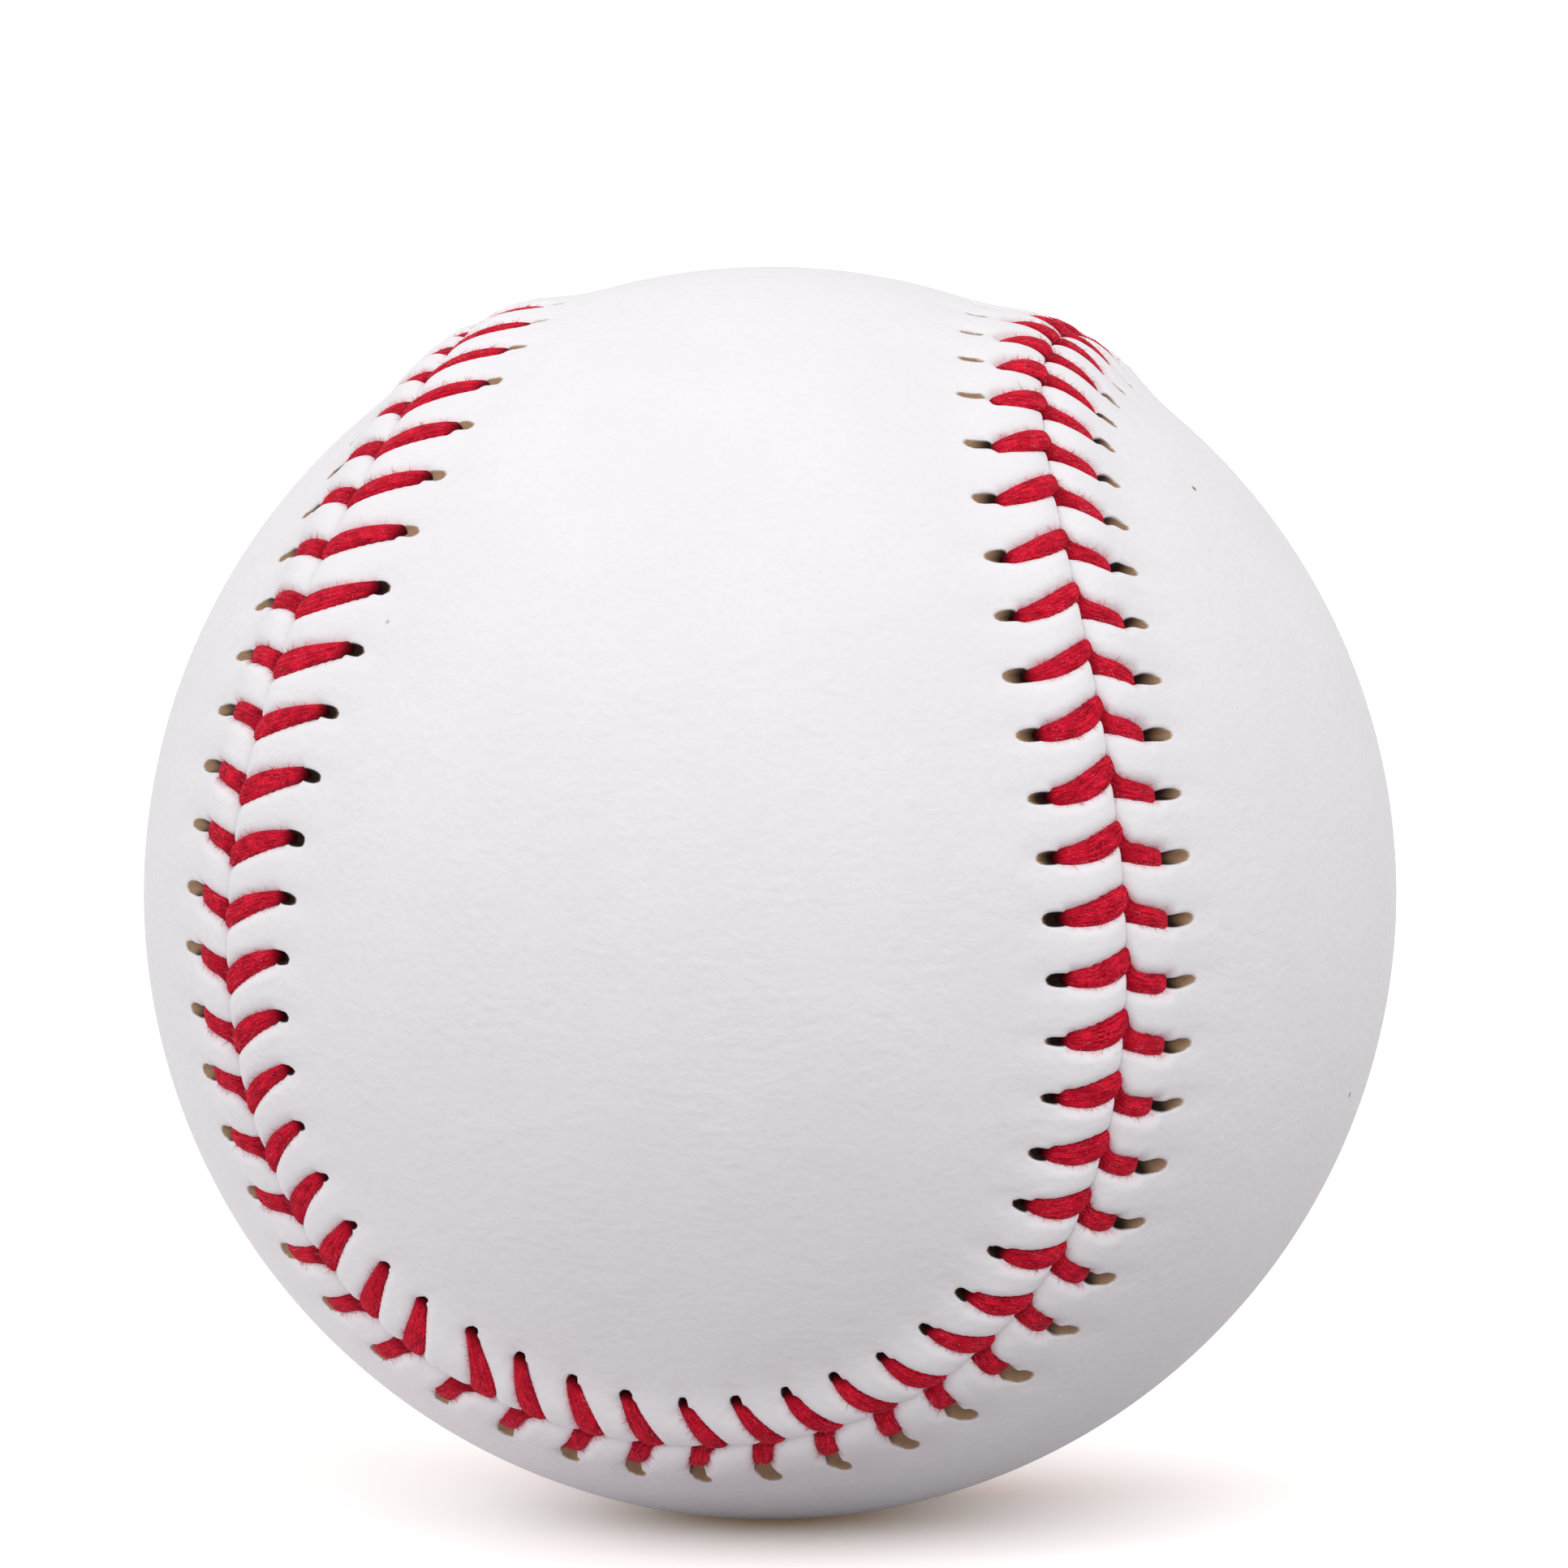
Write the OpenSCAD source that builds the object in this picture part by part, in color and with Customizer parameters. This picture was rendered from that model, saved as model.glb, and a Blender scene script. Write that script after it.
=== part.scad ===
// A hand-sewn leather ball as it is built: a cork pill in rubber shells, four windings of yarn,
// a coat of cement, two figure-eight leather panels and the two runs of red thread that lace them.
// Lengths are in millimetres. The origin is the centre of the ball, and +Z is up as it lies.

/* [Ball] */
// Diameter over the smooth leather, nine inches round
ball_d = 72.8; // [70:0.1:76]
// Thickness of the leather cover
cover_t = 1.25; // [1.1:0.05:1.4]
// Thickness of the dried cement on the windings
cement_t = 0.15; // [0.1:0.05:0.3]

/* [Pill] */
// Diameter of the cork and rubber core
core_d = 20.6; // [18:0.1:23]
// Thickness of the two black rubber shells
inner_rubber_t = 3.2; // [2.5:0.1:4]
// Thickness of the washer that joins the black shells
washer_t = 0.8; // [0.5:0.1:1.5]
// Thickness of the red rubber shell around them
outer_rubber_t = 3.2; // [2.5:0.1:4]

/* [Windings] */
// Thickness of the three-ply white winding
white_wool_t = 1.7; // [1:0.1:2.5]
// Thickness of the three-ply grey winding
grey_wool_t = 2.2; // [1.5:0.1:3]
// Thickness of the finishing winding of fine yarn
finish_t = 0.5; // [0.3:0.1:1]

/* [Seam] */
// Half width of a panel's waist, measured on the ball from its middle line to the seam
waist_half_w = 17.2; // [16:0.1:18.5]
// How far the seam swings to each side of an even course round the ball
seam_swing = 13.1; // [12:0.1:14]
// Number of stitches along the seam, in fours so that both panels are alike
stitches = 108; // [100:4:112]

/* [Thread] */
// Width of the thread, flattened by its own pull
thread_w = 0.95; // [0.8:0.05:1]
// Thickness of the flattened thread
thread_t = 0.65; // [0.55:0.05:0.7]

/* [Leather lips] */
// Distance from the seam to the near end of a stitch hole
hole_near = 3.4; // [3.2:0.1:3.6]
// Distance from the seam to the pointed far end of a stitch hole
hole_far = 5.3; // [5.2:0.1:5.6]
// Distance from the seam to the crest of the lip
crest_u = 1.9; // [1.8:0.1:2.2]
// Height of the lip's crest between two stitches over the smooth ball
crest_rise = 0.8; // [0.5:0.05:1]
// Distance from the seam to where the leather lies smooth again
foot_u = 8.4; // [8:0.1:9]

/* [Lie] */
// Tilt of the ball towards its back as it lies
back_tilt_angle = -8.5; // [-30:0.5:30]
// Tilt of the ball to its side as it lies
side_tilt_angle = 0.3; // [-30:0.1:30]
// Turn of the ball about the upright
turn_angle = -11.8; // [-180:0.1:180]

/* [Hidden] */
$fn = 96;

// Gap between pieces that lie against each other without touching
fit_gap = 0.03;
// Radii of the layers, from the outside in
ball_r = ball_d / 2;
bed_r = ball_r - cover_t;
finish_r = bed_r - cement_t;
grey_wool_r = finish_r - finish_t;
white_wool_r = grey_wool_r - grey_wool_t;
first_wool_r = white_wool_r - white_wool_t;
// Radii of the pill, from the inside out
core_r = core_d / 2;
inner_rubber_r = core_r + inner_rubber_t;
pill_r = inner_rubber_r + outer_rubber_t;
// Angle that a length on the ball's surface spans
function arc_angle(along) = along / ball_r * 180 / PI;
// Shares that round the seam's course: of the way from waist to equator, and of the swing
waist_share = -0.018;
swing_share = 0.038;
// Steps in which the seam is measured, over the 720 degrees of its course
seam_step_count = 720;
seam_turn_angle = 720;
// Columns of facets across a panel are about this wide
facet_w = 7;

// Direction of the seam's point at a course angle t: two full turns of t lead once along it
function seam(t) = let(
    waist = arc_angle(waist_half_w),
    swing = arc_angle(seam_swing),
    polar = 90 - (90 - waist) * ((1 - waist_share) * cos(t) + waist_share * cos(3 * t)),
    azimuth = t / 2 + swing * (sin(2 * t) + swing_share * sin(4 * t))
) [sin(polar) * cos(azimuth), sin(polar) * sin(azimuth), cos(polar)];
function unit(v) = v / norm(v);

// Table of the seam's length against its course angle, on a ball of radius 1
step_angle = seam_turn_angle / seam_step_count;
seam_table = [for (i = 0, s = 0; i <= seam_step_count;
    s = s + norm(seam((i + 1) * step_angle) - seam(i * step_angle)), i = i + 1) [s, i * step_angle]];
seam_unit_len = seam_table[seam_step_count][0];
pitch = seam_unit_len * ball_r / stitches;

// Course angle at a place along the seam, counted in stitches
function course(place) = let(
    turns = place / stitches
) lookup((turns - floor(turns)) * seam_unit_len, seam_table);
// Outward, forward and sideways directions at that place; sideways points onto the front panel
function seam_frame(place) = let(
    t = course(place),
    out = seam(t),
    ahead = unit(seam(t + step_angle) - seam(t - step_angle))
) [out, ahead, cross(out, ahead)];
// Point of the ball at a place along the seam, u to its side, at a height over the smooth ball
function spot(place, u, height) = let(
    f = seam_frame(place),
    a = arc_angle(u)
) (cos(a) * f[0] + sin(a) * f[2]) * (ball_r + height);

// Gap left over or under a straight run of thread, which sags a little towards the centre
sag_gap = 2 * fit_gap;
// Levels over the smooth ball: of the thread under the leather, of the underside of the leather
// that it lifts, of the web of leather under an over-pass, and of the thread on that web
web_share = 0.4;
under_level = sag_gap + thread_t / 2 - cover_t;
lift_level = under_level + thread_t / 2 + sag_gap;
web_level = lift_level + web_share * cover_t;
over_level = web_level + sag_gap + thread_t / 2;

// Distances from the seam at which a thread bends: in its hole, and where it starts to dive
post_u = hole_near + fit_gap + thread_t / 2;
dive_share = 0.7;
dive_u = dive_share * crest_u;
// Place where a thread crosses the seam, in stitches past its hole. Each pair crosses side by
// side, and the thread from the front panel is the one ahead.
side_step = (thread_w / 2 + fit_gap) / pitch;
function lead(side) = 0.5 + side * side_step;
// Place where it lies over its own panel, at u from the seam
function over_place(side, u) = lead(side) * min(1, (post_u - u) / (post_u - dive_u));
// Half the width that it takes up there along the seam, in stitches, as it lies aslant
function web_half(side) = let(
    aslant = norm([post_u - dive_u, lead(side) * pitch]) / (post_u - dive_u)
) (thread_w / 2 * aslant + fit_gap) / pitch;

// Half width of a hole at its near end, in stitches, such that the thread clears its tapering sides
hole_len = hole_far - hole_near;
hole_half = (thread_w / 2 + sag_gap) / pitch * hole_len / (hole_len - thread_t - fit_gap);
// Half the width of the groove in which a thread lies over the lip, in stitches, on the side ahead
groove_half = web_half(1) + lead(1) - over_place(1, crest_u);
// Places of the two corners of the tongue that the leather's edge has between two threads, past
// the hole behind it, and their distance from the seam
tongue_u = fit_gap;
tongue_shares = [0.25, 0.75];
threads_start = lead(-1) - side_step;
threads_end = lead(1) + web_half(1);
tongue_places = [for (share = tongue_shares)
    threads_end + share * (1 + threads_start - threads_end)];

// Levels of the tongue's tip, of the lip between two holes and of the pointed ends of the holes
tip_level = web_level + crest_rise / 3;
shoulder_level = crest_rise * 2 / 3;
far_level = crest_rise / 8;
// Level of the inner skin, whose facets must clear the round windings at their middles
skin_level = 2 * sag_gap + (pow(facet_w, 2) + pow(pitch, 2)) / (8 * ball_r) - cover_t;

// Rings of corners round a panel. Each has the corners that one stitch has on it, as [place,
// distance from the seam, level]. They lead from the edge over the lip to the outer skin, and from
// the edge under the lip to the inner skin.
RINGS = ["tongue", "crest", "near", "far", "foot", "under_crest", "under_near", "under_far",
    "under_foot"];
function rim(side) = let(
    crest = over_place(side, crest_u),
    behind = crest - web_half(side),
    ahead = crest + groove_half,
    near = over_place(side, hole_near) + web_half(side) + fit_gap / pitch,
    hole_end = max(near, hole_half)
) [
    [for (place = tongue_places) [place, tongue_u, tip_level]],
    [[behind, crest_u, web_level], [ahead, crest_u, web_level],
        [(ahead + behind + 1) / 2, crest_u, crest_rise]],
    [[-hole_half, hole_near, web_level], [hole_end, hole_near, web_level],
        [(hole_end + 1 - hole_half) / 2, hole_near, shoulder_level]],
    [[0, hole_far, far_level]],
    [[0, foot_u, 0]],
    [[behind, crest_u, lift_level], [ahead, crest_u, lift_level]],
    [[-hole_half, hole_near, lift_level], [hole_end, hole_near, lift_level]],
    [[0, hole_far, (lift_level + skin_level) / 2]],
    [[0, foot_u, skin_level]]
];
// Number of corners that a stitch has on each ring, and of all corners before each ring
rim_counts = [for (ring = rim(1)) len(ring)];
rim_starts = [for (n = 0, sum = 0; n < len(rim_counts);
    sum = sum + stitches * rim_counts[n], n = n + 1) sum];
// Corner number i of a stitch on a ring
function rim_corner(ring, stitch, i) = let(
    n = search([ring], RINGS)[0]
) rim_starts[n] + (stitch + stitches) % stitches * rim_counts[n] + i;
// All of a stitch's corners on a ring, with the first ones of the next stitch
function rim_row(ring, stitch, ahead) = concat(
    [for (i = [0:rim_counts[search([ring], RINGS)[0]] - 1]) rim_corner(ring, stitch, i)],
    [for (i = [0:1:ahead - 1]) rim_corner(ring, stitch + 1, i)]
);

// Triangles of the band between two rows of corners, which both run the same way
function zip(a, b) = let(
    m = len(a) - 1,
    n = len(b) - 1
) concat(
    [for (i = [0:1:m - 1]) [a[i], a[i + 1], b[max(0, ceil((i + 0.5) * n / m - 0.5))]]],
    [for (j = [0:1:n - 1]) [b[j + 1], b[j], a[floor((j + 0.5) * m / n + 0.5)]]]
);
// Triangles of a four-cornered face
function quad(a, b, c, d) = [[a, b, c], [a, c, d]];

// Faces of the rim at one stitch: the lip's top with its groove and lobe, the edge, the lip's
// underside and the walls of the hole
function rim_faces(k) = let(
    tongue = rim_row("tongue", k, 0),
    crest = rim_row("crest", k, 1),
    near = rim_row("near", k, 1),
    far = rim_row("far", k, 1),
    under_crest = rim_row("under_crest", k, 1),
    under_near = rim_row("under_near", k, 1),
    under_far = rim_row("under_far", k, 1)
) concat(
    zip([crest[1], tongue[0], tongue[1], crest[3]], [crest[2]]),
    zip([crest[0], crest[1]], [near[0], near[1]]),
    zip([crest[1], crest[2]], [near[1]]),
    zip([crest[2]], [near[1], near[2], near[3]]),
    zip([crest[2], crest[3]], [near[3]]),
    zip([near[1], near[2], near[3]], far),
    zip(far, rim_row("foot", k, 1)),
    zip([under_crest[0], under_crest[1]], [crest[0], crest[1]]),
    zip([under_crest[1], under_crest[2]], [crest[1], tongue[0], tongue[1], crest[3]]),
    zip([under_near[0], under_near[1]], [under_crest[0], under_crest[1]]),
    zip([under_near[1], under_near[2]], [under_crest[1], under_crest[2]]),
    zip(under_far, [under_near[1], under_near[2]]),
    zip(rim_row("under_foot", k, 1), under_far),
    quad(near[0], near[1], under_near[1], under_near[0]),
    quad(near[1], far[0], under_far[0], under_near[1]),
    quad(far[0], near[0], under_near[0], under_far[0])
);

// The smooth skin of a panel is laid in rows across it, from its tip between two lobes of the
// other panel to its other tip. Row j joins the foot of the rim j stitches before and after the tip.
last_row = stitches / 2 - 1;
function tip(side) = side > 0 ? stitches / 4 : 0;
function skin_end(side, j, way) = spot(tip(side) + way * j, side * foot_u, 0);
// Angle that a row spans, seen from the ball's centre, and its number of columns
function row_angle(side, j) = let(
    a = skin_end(side, j, -1),
    b = skin_end(side, j, 1)
) acos(a * b / (norm(a) * norm(b)));
function columns(side, j) = j == 1 || j == last_row ? 1
    : max(1, round(row_angle(side, j) / arc_angle(facet_w)));
// Point of a row at a share of its way, on the great circle between its ends
function row_point(side, j, share, level) = let(
    angle = row_angle(side, j),
    way = sin((1 - share) * angle) * skin_end(side, j, -1)
        + sin(share * angle) * skin_end(side, j, 1)
) unit(way) * (ball_r + level);
function skin_points(side, level) = [for (j = [1:last_row]) let(
    n = columns(side, j)
) for (i = [1:1:n - 1]) row_point(side, j, i / n, level)];
// Number of the skin's own corners before each row
function row_starts(side) = [for (j = 1, sum = 0; j <= last_row + 1;
    sum = sum + (j <= last_row ? columns(side, j) - 1 : 0), j = j + 1) sum];
// Corners of a row, of which the first and the last are the rim's
function row(side, j, ring, first, starts) = concat(
    [rim_corner(ring, tip(side) - j, 0)],
    [for (i = [starts[j - 1]:1:starts[j] - 1]) first + i],
    [rim_corner(ring, tip(side) + j, 0)]
);
function skin_faces(side, ring, first) = let(
    starts = row_starts(side),
    rows = [for (j = [1:last_row]) row(side, j, ring, first, starts)],
    ends = rows[last_row - 1]
) concat(
    [[rows[0][0], rim_corner(ring, tip(side), 0), rows[0][1]]],
    [for (j = [0:last_row - 2]) for (face = zip(rows[j], rows[j + 1])) face],
    [[ends[0], ends[1], rim_corner(ring, tip(side) + last_row + 1, 0)]]
);
function flip(faces) = [for (face = faces) [face[2], face[1], face[0]]];

// One leather panel: side is 1 for the front one and -1 for the back one
module panel(side) {
    rings = rim(side);
    rim_points = [for (ring = rings) for (k = [0:stitches - 1]) for (c = ring)
        spot(k + c[0], side * c[1], c[2])];
    outer_points = skin_points(side, 0);
    inner_points = skin_points(side, skin_level);
    outer_first = len(rim_points);
    inner_first = outer_first + len(outer_points);
    faces = concat(
        [for (k = [0:stitches - 1]) for (face = rim_faces(k)) face],
        skin_faces(side, "foot", outer_first),
        flip(skin_faces(side, "under_foot", inner_first))
    );
    polyhedron(concat(rim_points, outer_points, inner_points), side > 0 ? flip(faces) : faces);
}

// Corners of the thread's section at a point: facing is its direction, up is the side that its
// flat turns to
function section(point, facing, up) = let(
    across = unit(cross(facing, up)) * thread_w / 2,
    flat = unit(cross(across, facing)) * thread_t / 2
) [point + across + flat, point - across + flat, point - across - flat, point + across - flat];
section_corner_count = 4;

// One needle's thread. At each stitch it comes up through a hole, goes over the lip, dives at the
// seam and runs on under the other panel, whose next hole it takes. The side of the thread that
// faced out on one over-pass faces in on the next.
function thread_side(k, needle) = (k + needle) % 2 == 0 ? 1 : -1;
function thread_points(needle) = [for (k = [0:stitches - 1]) let(
    side = thread_side(k, needle),
    turn = k % 2 == 0 ? 1 : -1,
    hole = seam_frame(k),
    crossing = k + lead(side),
    foot = spot(k, side * post_u, under_level),
    head = spot(k, side * post_u, over_level),
    dive = spot(crossing, side * dive_u, over_level),
    under = spot(crossing, -side * dive_u, under_level),
    next = spot(k + 1, -side * post_u, under_level),
    over_way = unit(dive - head),
    dive_way = unit(under - dive),
    under_way = unit(next - under)
) each concat(
    section(foot, unit(foot), turn * side * hole[2]),
    section(head, over_way, turn * unit(head)),
    section(dive, unit(over_way + dive_way), turn * unit(dive)),
    section(under, unit(dive_way + under_way), turn * unit(under))
)];
module thread(needle) {
    points = thread_points(needle);
    total = len(points);
    corners = section_corner_count;
    faces = [for (ring = [0:corners:total - 1]) for (i = [0:corners - 1]) let(
        a = ring + i,
        b = ring + (i + 1) % corners
    ) each quad(a, b, (b + corners) % total, (a + corners) % total)];
    polyhedron(points, faces);
}

// The figure-eight pattern is turned as the ball lies with one lobe to the front
module as_it_lies() {
    rotate([back_tilt_angle, side_tilt_angle, turn_angle]) children();
}
// A round layer between two radii
module layer(inner_r, outer_r) {
    difference() {
        sphere(r = outer_r);
        sphere(r = inner_r);
    }
}
// The height of the washer, across the whole pill
module washer_slab() {
    cylinder(h = washer_t, r = pill_r, center = true);
}

module cork_core() {
    color("peru") sphere(r = core_r);
}

module inner_rubber_shell() {
    difference() {
        layer(core_r, inner_rubber_r);
        translate([0, 0, washer_t / 2 - pill_r]) cylinder(h = pill_r, r = pill_r);
    }
}

module inner_rubber_shell_upper() {
    color("black") as_it_lies() inner_rubber_shell();
}

module inner_rubber_shell_lower() {
    color("black") as_it_lies() mirror([0, 0, 1]) inner_rubber_shell();
}

module rubber_washer() {
    color("firebrick") as_it_lies() intersection() {
        layer(core_r, inner_rubber_r);
        washer_slab();
    }
}

module outer_rubber_shell() {
    color("firebrick") as_it_lies() layer(inner_rubber_r, pill_r);
}

module four_ply_grey_winding() {
    color("dimgray") as_it_lies() layer(pill_r, first_wool_r);
}

module three_ply_white_winding() {
    color("ivory") as_it_lies() layer(first_wool_r, white_wool_r);
}

module three_ply_grey_winding() {
    color("gray") as_it_lies() layer(white_wool_r, grey_wool_r);
}

module finishing_winding() {
    color("white") as_it_lies() layer(grey_wool_r, finish_r);
}

module cement_coat() {
    color("wheat") as_it_lies() layer(finish_r, bed_r);
}

module cover_panel_front() {
    color("whitesmoke") as_it_lies() panel(1);
}

module cover_panel_back() {
    color("whitesmoke") as_it_lies() panel(-1);
}

module stitch_thread_first() {
    color("crimson") as_it_lies() thread(0);
}

module stitch_thread_second() {
    color("crimson") as_it_lies() thread(1);
}

cork_core();
inner_rubber_shell_upper();
inner_rubber_shell_lower();
rubber_washer();
outer_rubber_shell();
four_ply_grey_winding();
three_ply_white_winding();
three_ply_grey_winding();
finishing_winding();
cement_coat();
cover_panel_front();
cover_panel_back();
stitch_thread_first();
stitch_thread_second();
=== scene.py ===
# %% [markdown]
# # A baseball, dressed in leather and thread
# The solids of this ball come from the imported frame: a cork and rubber pill, four windings of
# yarn, a coat of cement, two leather panels and two needles' threads. This lesson gives each of
# them its finish, and models afresh the two soft things that the eye sees: the leather panels,
# which puff up between the stitches, and the waxed threads, which lie in grooves between them.
# All lengths are in metres, with the middle of the ball at the origin.

# %% Load the frame
import math

import bmesh
import bpy
import numpy as np
from mathutils import Euler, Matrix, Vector


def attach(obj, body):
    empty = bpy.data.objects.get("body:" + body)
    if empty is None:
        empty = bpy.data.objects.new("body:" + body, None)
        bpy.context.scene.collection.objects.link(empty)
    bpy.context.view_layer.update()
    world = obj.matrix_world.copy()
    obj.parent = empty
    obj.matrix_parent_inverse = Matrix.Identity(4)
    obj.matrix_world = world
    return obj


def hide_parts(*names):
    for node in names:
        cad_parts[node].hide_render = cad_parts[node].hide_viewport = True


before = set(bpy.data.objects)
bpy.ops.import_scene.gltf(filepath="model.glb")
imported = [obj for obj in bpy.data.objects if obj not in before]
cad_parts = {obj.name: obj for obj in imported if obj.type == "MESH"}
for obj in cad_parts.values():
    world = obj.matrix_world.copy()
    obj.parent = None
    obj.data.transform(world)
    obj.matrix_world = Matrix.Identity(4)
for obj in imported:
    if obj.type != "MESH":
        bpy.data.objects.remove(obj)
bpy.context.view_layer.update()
print("nodes:", sorted(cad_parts))

# %% [markdown]
# ## The camera
# A long lens from about a metre away, a little above the ball, gives nearly parallel lines of
# sight, so the ball's outline is a circle. The view is set first, because every detail that
# follows is judged through it. The camera is placed by where the ball's middle lies in its view,
# counted in ball radii: to the right, ahead and up.

# %% Camera
mm = 0.001
ball_r = 36.4 * mm
ball_in_view = np.array([-0.0223, 31.91, -0.1738]) * ball_r
camera_tilt = math.radians(6)
view_right = np.array([1.0, 0.0, 0.0])
view_ahead = np.array([0.0, math.cos(camera_tilt), -math.sin(camera_tilt)])
view_up = np.array([0.0, math.sin(camera_tilt), math.cos(camera_tilt)])

camera_data = bpy.data.cameras.new("camera")
camera_data.sensor_width = 36
camera_data.lens = 458.8
camera_data.clip_end = 20
camera = bpy.data.objects.new("camera", camera_data)
camera.location = -(ball_in_view @ np.array([view_right, view_ahead, view_up]))
camera.rotation_euler = (math.pi / 2 - camera_tilt, 0, 0)
bpy.context.scene.collection.objects.link(camera)
bpy.context.scene.camera = camera
print("camera at", [round(x, 3) for x in camera.location])

# %% [markdown]
# ## The course of the seam
# Both panels have the same figure-eight outline, and their edges meet in one closed seam that
# swings round the ball. One could draw that seam as a curve object and bend things along it. A
# formula is simpler here: it gives the seam's direction from the ball's middle at a course angle,
# and a table of its length turns that into places, counted in stitches. A point of the leather
# then has three plain coordinates: its place along the seam, its distance from it, which is
# positive on the front panel, and its level over the smooth ball.

# %% Seam
waist_half_w = 17.2 * mm
seam_swing = 13.1 * mm
waist_share, swing_share = -0.018, 0.038
stitches = 108


def seam_direction(t):
    swing = seam_swing / ball_r
    waist = waist_half_w / ball_r
    fall = (1 - waist_share) * np.cos(t) + waist_share * np.cos(3 * t)
    polar = np.pi / 2 - (np.pi / 2 - waist) * fall
    azimuth = t / 2 + swing * (np.sin(2 * t) + swing_share * np.sin(4 * t))
    sideways = np.sin(polar)
    return np.stack([sideways * np.cos(azimuth), sideways * np.sin(azimuth), np.cos(polar)], -1)


course_points = 8641
course_nudge = 1e-4
course = np.linspace(0, 4 * np.pi, course_points)
steps = np.linalg.norm(np.diff(seam_direction(course), axis=0), axis=1)
seam_lengths = np.concatenate([[0], np.cumsum(steps)])
pitch = seam_lengths[-1] * ball_r / stitches
lie_degrees = (-8.5, 0.3, -11.8)
lie = np.array(Euler([math.radians(a) for a in lie_degrees], "XYZ").to_matrix())


def even_spot(place, aside, level):
    """Points at places along the seam, at distances aside of it, at levels over the ball."""
    t = np.interp(np.mod(place, stitches) / stitches * seam_lengths[-1], seam_lengths, course)
    out = seam_direction(t)
    ahead = seam_direction(t + course_nudge) - seam_direction(t - course_nudge)
    ahead /= np.linalg.norm(ahead, axis=-1, keepdims=True)
    angle = (aside / ball_r)[..., None]
    direction = np.cos(angle) * out + np.sin(angle) * np.cross(out, ahead)
    return direction * (ball_r + level)[..., None] @ lie.T


print("stitches lie", round(pitch / mm, 3), "mm apart")

# %% [markdown]
# ## How the stitches lie
# A ball is sewn by hand: along the seam the stitches lean, widen and shift, and no two are quite
# the same. Random numbers alone would look restless, and a list of every stitch would be long and
# hard to change. So the sewing is written down at a few places, chosen where its character
# changes, and runs on evenly between them. The other half of the seam has the same course and
# repeats it. A little seeded chance makes each stitch its own. What lies along the seam is in
# stitches, and what lies across it is in millimetres.

# %% Stitch curves
hand = np.random.default_rng(7)
halves = (0, stitches // 2)
sewn_places = [0, 2, 5, 9, 14, 18, 22, 23, 24, 27, 30, 35, 40, 44, 46, 50]
shift_spread, end_spread, point_spread, bulge_spread, width_spread = 0.015, 0.06, 0.025, 0.012, 0.04


def along_seam(spread, values):
    """Values at the chosen places, run on along the whole seam, with some chance at each stitch."""
    half = stitches // 2
    sewn = np.interp(np.arange(half), sewn_places + [half], values + values[:1])
    return np.tile(sewn, 2) + hand.normal(0, spread, stitches)


# Holes of the front panel (1) and of the back one (-1): shift along the seam, near and far end
hole_shift = {
    1: along_seam(shift_spread, [-0.05, -0.05, -0.1, -0.13, -0.08, -0.2, -0.28, -0.15,
                                 -0.08, 0.1, 0, 0.1, 0.1, -0.03, -0.1, 0.08]),
    -1: along_seam(shift_spread, [0.1, 0.1, 0.08, 0.15, 0.07, 0, -0.12, -0.05,
                                  -0.03, 0, 0.08, 0, -0.12, -0.15, -0.1, 0.12])}
hole_near = {
    1: along_seam(end_spread, [3.1, 4.2, 4.5, 5.1, 4.3, 3.7, 4.5, 4.95,
                               5.0, 3.85, 3.85, 3.3, 3.85, 3.9, 3.7, 2.7]) * mm,
    -1: along_seam(end_spread, [3.6, 3.6, 3.9, 3.9, 3.7, 4.3, 4.6, 4.1,
                                3.5, 2.9, 3.1, 2.9, 3.0, 3.0, 3.1, 3.6]) * mm}
hole_far = {
    1: along_seam(end_spread, [5.6, 5.6, 6.1, 6.7, 5.9, 4.5, 5.4, 5.9,
                               5.95, 5.1, 4.95, 4.8, 5.4, 5.7, 5.2, 5.2]) * mm,
    -1: along_seam(end_spread, [5.2, 5.2, 5.8, 6.6, 6.6, 6.4, 6.2, 5.8,
                                5.3, 5.4, 5.8, 5.2, 5.1, 5.0, 5.1, 5.1]) * mm}
# Where the stitch's point lies, how far its front leg bulges ahead, and how wide it is
points_at = along_seam(point_spread, [0.5, 0.51, 0.45, 0.52, 0.61, 0.6, 0.35, 0.66,
                                      0.58, 0.69, 0.59, 0.59, 0.57, 0.48, 0.5, 0.5])
bulges = along_seam(bulge_spread, [0.01, 0.01, 0, 0.05, -0.04, -0.08, 0.08, 0.2,
                                   0.05, 0.05, -0.03, -0.04, -0.07, -0.1, -0.08, 0.02])
leg_widths = along_seam(width_spread, [1.12, 0.92, 0.95, 0.96, 0.94, 0.95, 1.0, 1.05,
                                       1.0, 0.93, 0.95, 1.05, 1.02, 0.95, 0.92, 1.15])
# Middle of the back leg, a third of the way to its hole
back_middles = along_seam(point_spread, [0.14, 0.13, 0.08, 0.19, 0.17, 0.07, -0.06, 0.06,
                                         0.11, 0.18, 0.18, 0.08, 0.02, -0.04, -0.02, 0.11])
print(len(sewn_places), "places describe", stitches // 2, "stitches")

# %% [markdown]
# ### The seam as it was sewn
# The rims don't meet quite on the even course: along the foot of the ball the seam lies up to a
# millimetre towards the front panel. Bending the formula there would move every stitch, so a drift
# at the same few places is added to it, which fades out a few millimetres from the seam. Over the
# top of the ball some front threads sink in under the leather before they come to their holes,
# which is written down as the length that is covered.

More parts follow.
